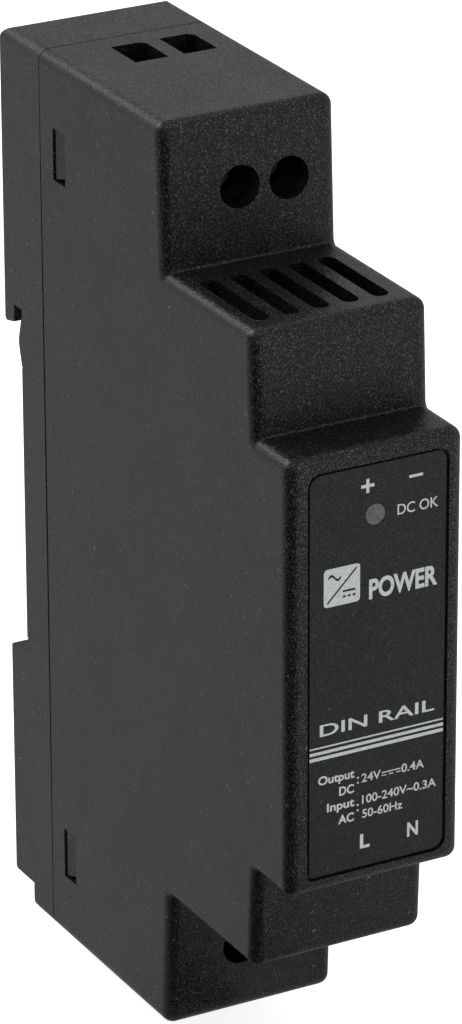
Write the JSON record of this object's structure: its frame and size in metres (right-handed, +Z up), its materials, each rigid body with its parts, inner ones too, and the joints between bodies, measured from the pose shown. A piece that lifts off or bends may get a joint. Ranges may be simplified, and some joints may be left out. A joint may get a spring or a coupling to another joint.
{
  "type": "din rail power supply",
  "caption": "Slim one-module DIN rail power supply: stepped dark plastic case, screw terminals above and below, vent slots, status lamp, rail hook and sprung rail latch.",
  "frame": {"origin": "centre of the mounting rail, on the floor of the rail recess, at mid width", "axes": "+Z up, +X to the right seen from the front, +Y out of the back towards the rail; the front faces -Y"},
  "size_m": [0.018, 0.0556, 0.091],
  "materials": {
    "case_plastic": "fine spark-eroded texture",
    "cover_plastic": "fine spark-eroded texture",
    "latch_plastic": "moulded, slightly smoother",
    "label_film": "fine-grained printed film",
    "lamp_window": "cloudy diffusing plastic",
    "led_resin": "tinted resin",
    "board_laminate": "solder mask",
    "insulating_film": "clear film",
    "terminal_plastic": "moulded",
    "plated_steel": "zinc plated",
    "tinned_copper": "tin plated",
    "spring_steel": "drawn wire",
    "ferrite": "sintered, dull",
    "former_plastic": "moulded",
    "winding_tape": "polyester tape",
    "enamelled_wire": "enamelled copper",
    "moulded_black": "moulding compound",
    "fuse_plastic": "moulded",
    "dipped_blue": "dipped coating",
    "dipped_green": "dipped coating",
    "film_grey": "moulded box",
    "can_sleeve": "heat-shrunk sleeve"
  },
  "bodies": {
    "case": {"front_housing": "case_plastic", "rear_cover": "cover_plastic", "latch_spring": "spring_steel", "front_label": "label_film", "light_pipe": "lamp_window", "status_led": "led_resin", "circuit_board": "board_laminate", "insulating_sheet": "insulating_film", "output_terminal_block": "terminal_plastic", "input_terminal_block": "terminal_plastic", "transformer_core": "ferrite", "transformer_bobbin": "former_plastic", "transformer_winding": "winding_tape", "choke_core": "ferrite", "choke_winding": "enamelled_wire", "fuse_box": "fuse_plastic", "varistor": "dipped_blue", "thermistor": "dipped_green", "filter_capacitor": "film_grey", "bridging_capacitor": "dipped_blue", "bridge_rectifier": "moulded_black", "controller_chip": "moulded_black", "optocoupler": "moulded_black", "output_diode": "moulded_black", "output_inductor": "ferrite", "supply_capacitor": "can_sleeve", "bulk_capacitor_1": "can_sleeve", "bulk_capacitor_2": "can_sleeve", "output_capacitor_1": "can_sleeve", "output_capacitor_2": "can_sleeve", "contact_bar_plus": "tinned_copper", "contact_bar_minus": "tinned_copper", "contact_bar_line": "tinned_copper", "contact_bar_neutral": "tinned_copper"},
    "rail_latch": {"rail_latch": "latch_plastic"},
    "screw_plus": {"clamp_screw_plus": "plated_steel"},
    "clamp_plus": {"clamp_cage_plus": "plated_steel"},
    "screw_minus": {"clamp_screw_minus": "plated_steel"},
    "clamp_minus": {"clamp_cage_minus": "plated_steel"},
    "screw_line": {"clamp_screw_line": "plated_steel"},
    "clamp_line": {"clamp_cage_line": "plated_steel"},
    "screw_neutral": {"clamp_screw_neutral": "plated_steel"},
    "clamp_neutral": {"clamp_cage_neutral": "plated_steel"}
  },
  "joints": [
    {"name": "latch_slide", "type": "slide", "parent": "case", "child": "rail_latch", "axis": [0, 0, -1], "range_m": [0, 0.004], "stiffness_N_per_m": 1200, "springref_m": -0.003, "deforming": ["latch_spring"]},
    {"name": "screw_turn_plus", "type": "hinge", "parent": "case", "child": "screw_plus", "pos_m": [-0.00105, -0.0227, 0.0384], "axis": [0, 1, 0], "range_deg": [0, 2160]},
    {"name": "clamp_slide_plus", "type": "slide", "parent": "case", "child": "clamp_plus", "axis": [0, -1, 0], "range_m": [0, 0.0027]},
    {"name": "screw_turn_minus", "type": "hinge", "parent": "case", "child": "screw_minus", "pos_m": [0.00403, -0.0227, 0.0384], "axis": [0, 1, 0], "range_deg": [0, 2160]},
    {"name": "clamp_slide_minus", "type": "slide", "parent": "case", "child": "clamp_minus", "axis": [0, -1, 0], "range_m": [0, 0.0027]},
    {"name": "screw_turn_line", "type": "hinge", "parent": "case", "child": "screw_line", "pos_m": [-0.00105, -0.0227, -0.0384], "axis": [0, 1, 0], "range_deg": [0, 2160]},
    {"name": "clamp_slide_line", "type": "slide", "parent": "case", "child": "clamp_line", "axis": [0, -1, 0], "range_m": [0, 0.0027]},
    {"name": "screw_turn_neutral", "type": "hinge", "parent": "case", "child": "screw_neutral", "pos_m": [0.00403, -0.0227, -0.0384], "axis": [0, 1, 0], "range_deg": [0, 2160]},
    {"name": "clamp_slide_neutral", "type": "slide", "parent": "case", "child": "clamp_neutral", "axis": [0, -1, 0], "range_m": [0, 0.0027]}
  ],
  "couplings": [
    {"joint": "screw_turn_plus", "follows": "clamp_slide_plus", "rad_per_m": 13963},
    {"joint": "screw_turn_minus", "follows": "clamp_slide_minus", "rad_per_m": 13963},
    {"joint": "screw_turn_line", "follows": "clamp_slide_line", "rad_per_m": 13963},
    {"joint": "screw_turn_neutral", "follows": "clamp_slide_neutral", "rad_per_m": 13963}
  ]
}
